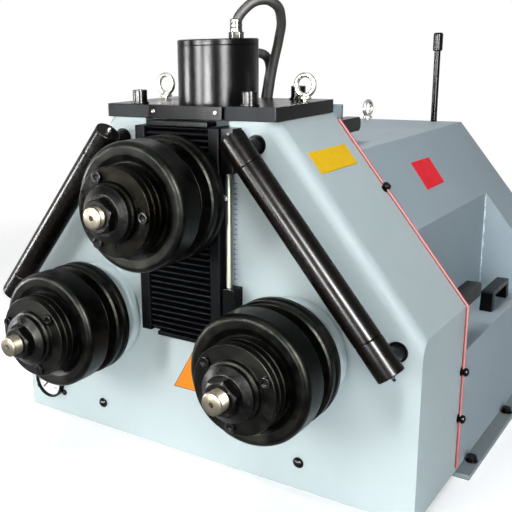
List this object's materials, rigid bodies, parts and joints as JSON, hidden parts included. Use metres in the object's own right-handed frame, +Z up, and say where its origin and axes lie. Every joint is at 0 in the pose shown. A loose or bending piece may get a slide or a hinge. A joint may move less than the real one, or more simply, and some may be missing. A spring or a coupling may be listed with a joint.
{
  "type": "hydraulic ring roller",
  "caption": "Floor-standing hydraulic ring and section bending machine: lower rolls, a top roll on a slide, slanted side guide rollers, and a hood behind.",
  "frame": {"origin": "centre of the base plate's underside", "axes": "+Z up, +X to the right of someone facing the rolls, -Y out of the front towards that person"},
  "size_m": [1.046, 1.2028, 0.9726],
  "materials": {
    "body_paint": "satin light blue-grey enamel",
    "black_oxide": "black oxide, glossy and oiled",
    "browned": "browned steel with scratches",
    "bare_steel": "bare turned steel",
    "zinc": "bright zinc plating",
    "black_paint": "black enamel",
    "black_plastic": "moulded, semi-gloss",
    "bellows_cloth": "coated cloth, matte",
    "hose_rubber": "matte",
    "cord_red": "plastic-covered cord",
    "cast_grey": "painted casting"
  },
  "bodies": {
    "frame": {"base_plate": "body_paint", "front_housing": "body_paint", "rear_hood": "body_paint", "left_bearing": "body_paint", "right_bearing": "body_paint", "left_gear_motor": "cast_grey", "right_gear_motor": "cast_grey", "left_guide_upper_collar": "browned", "left_guide_lower_collar": "browned", "left_guide_upper_pin": "browned", "left_guide_lower_pin": "browned", "right_guide_upper_collar": "browned", "right_guide_lower_collar": "browned", "right_guide_upper_pin": "browned", "right_guide_lower_pin": "browned", "left_rail": "black_paint", "right_rail": "black_paint", "left_upper_rear_bar": "black_paint", "left_lower_rear_bar": "black_paint", "right_upper_rear_bar": "black_paint", "right_lower_rear_bar": "black_paint", "left_hood_handle": "black_plastic", "right_hood_handle": "black_plastic", "left_eye_bolt": "zinc", "right_eye_bolt": "zinc", "hood_eye_bolt": "zinc", "lower_bellows": "bellows_cloth", "upper_bellows": "bellows_cloth", "bellows_end_block": "black_paint", "top_plate": "black_paint", "slideway_cover": "black_paint", "cylinder": "black_paint", "pressure_hose": "hose_rubber", "return_hose": "hose_rubber", "safety_cord": "cord_red", "mast": "black_paint", "power_pack": "cast_grey", "height_scale": "black_paint", "gauge_case": "black_plastic"},
    "slide": {"slide_block": "cast_grey", "piston_rod": "bare_steel", "top_gear_motor": "cast_grey"},
    "top_roll_set": {"top_shaft": "bare_steel", "top_rear_roll": "black_oxide", "top_front_roll": "black_oxide", "top_retaining_disc": "black_oxide", "top_collar_nut": "black_oxide"},
    "left_roll_set": {"left_shaft": "bare_steel", "left_rear_roll": "black_oxide", "left_front_roll": "black_oxide", "left_retaining_disc": "black_oxide", "left_collar_nut": "black_oxide"},
    "right_roll_set": {"right_shaft": "bare_steel", "right_rear_roll": "black_oxide", "right_front_roll": "black_oxide", "right_retaining_disc": "black_oxide", "right_collar_nut": "black_oxide"},
    "left_sleeve": {"left_guide_sleeve": "browned"},
    "right_sleeve": {"right_guide_sleeve": "browned"},
    "needle": {"gauge_needle": "black_plastic"}
  },
  "joints": [
    {"name": "top_slide", "type": "slide", "parent": "frame", "child": "slide", "axis": [0, 0, 1], "range_m": [-0.15, 0], "deforming": ["upper_bellows", "lower_bellows"]},
    {"name": "top_roll_spin", "type": "hinge", "parent": "slide", "child": "top_roll_set", "pos_m": [0, 0, 0.5933], "axis": [0, 1, 0], "continuous": true},
    {"name": "left_roll_spin", "type": "hinge", "parent": "frame", "child": "left_roll_set", "pos_m": [-0.243, 0, 0.3063], "axis": [0, 1, 0], "continuous": true},
    {"name": "right_roll_spin", "type": "hinge", "parent": "frame", "child": "right_roll_set", "pos_m": [0.243, 0, 0.3063], "axis": [0, 1, 0], "continuous": true},
    {"name": "left_sleeve_spin", "type": "hinge", "parent": "frame", "child": "left_sleeve", "pos_m": [-0.1446, -0.5281, 0.7155], "axis": [-0.6345, 0, -0.7729], "continuous": true},
    {"name": "right_sleeve_spin", "type": "hinge", "parent": "frame", "child": "right_sleeve", "pos_m": [0.1446, -0.5281, 0.7155], "axis": [0.6345, 0, -0.7729], "continuous": true},
    {"name": "needle_turn", "type": "hinge", "parent": "frame", "child": "needle", "pos_m": [-0.423, -0.4705, 0.0923], "axis": [0, 1, 0], "range_deg": [0, 270], "stiffness_Nm_per_rad": 0.0005}
  ],
  "couplings": [
    {"joint": "left_roll_spin", "follows": "right_roll_spin", "ratio": 1},
    {"joint": "top_roll_spin", "follows": "right_roll_spin", "ratio": -1}
  ]
}
